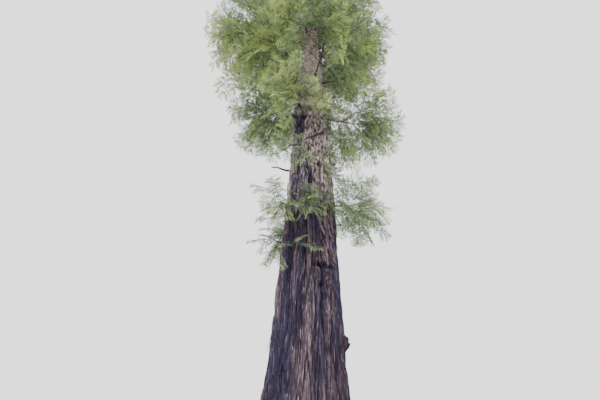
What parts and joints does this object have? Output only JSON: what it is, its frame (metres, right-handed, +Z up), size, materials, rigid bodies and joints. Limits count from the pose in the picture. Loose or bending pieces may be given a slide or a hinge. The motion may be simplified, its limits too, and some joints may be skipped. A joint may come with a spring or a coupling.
{
  "type": "coast redwood tree",
  "caption": "Tall conifer with a fire-blackened, furrowed trunk on flared buttresses and a narrow crown of drooping needle sprays.",
  "frame": {"origin": "centre of the flat cut under the trunk, at ground level", "axes": "+Z up the trunk, -Y towards the viewer of the picture, +X to the viewer's right"},
  "size_m": [9.6137, 9.4325, 40],
  "materials": {
    "trunk_bark": "furrowed, matte, charred",
    "limb_bark": "rough, matte",
    "needles": "matte green"
  },
  "bodies": {
    "root": {"trunk": "trunk_bark", "bough_1": "limb_bark", "bough_2": "limb_bark", "bough_3": "limb_bark", "bough_4": "limb_bark", "bough_5": "limb_bark", "bough_6": "limb_bark", "bough_7": "limb_bark", "bough_8": "limb_bark", "bough_9": "limb_bark", "bough_10": "limb_bark", "bough_11": "limb_bark", "bough_12": "limb_bark", "bough_13": "limb_bark", "bough_14": "limb_bark", "bough_15": "limb_bark", "bough_16": "limb_bark", "bough_17": "limb_bark", "bough_18": "limb_bark", "bough_19": "limb_bark", "bough_20": "limb_bark", "bough_21": "limb_bark", "bough_22": "limb_bark", "bough_23": "limb_bark", "bough_24": "limb_bark", "low_limb": "limb_bark", "foliage_1": "needles", "foliage_2": "needles", "foliage_3": "needles", "foliage_4": "needles", "foliage_5": "needles", "foliage_6": "needles", "foliage_7": "needles", "foliage_8": "needles", "foliage_9": "needles", "foliage_10": "needles", "foliage_11": "needles", "foliage_12": "needles", "foliage_13": "needles", "foliage_14": "needles", "foliage_15": "needles", "foliage_16": "needles", "foliage_17": "needles", "foliage_18": "needles", "foliage_19": "needles", "foliage_20": "needles", "foliage_21": "needles", "foliage_22": "needles", "foliage_23": "needles", "foliage_24": "needles", "low_foliage": "needles", "leader_foliage": "needles", "shoot_low_left": "needles", "shoot_skirt_left": "needles", "shoot_skirt_front": "needles", "shoot_skirt_right": "needles", "shoot_middle": "needles", "shoot_upper": "needles", "shoot_back_low": "needles", "shoot_back_high": "needles"}
  },
  "joints": []
}
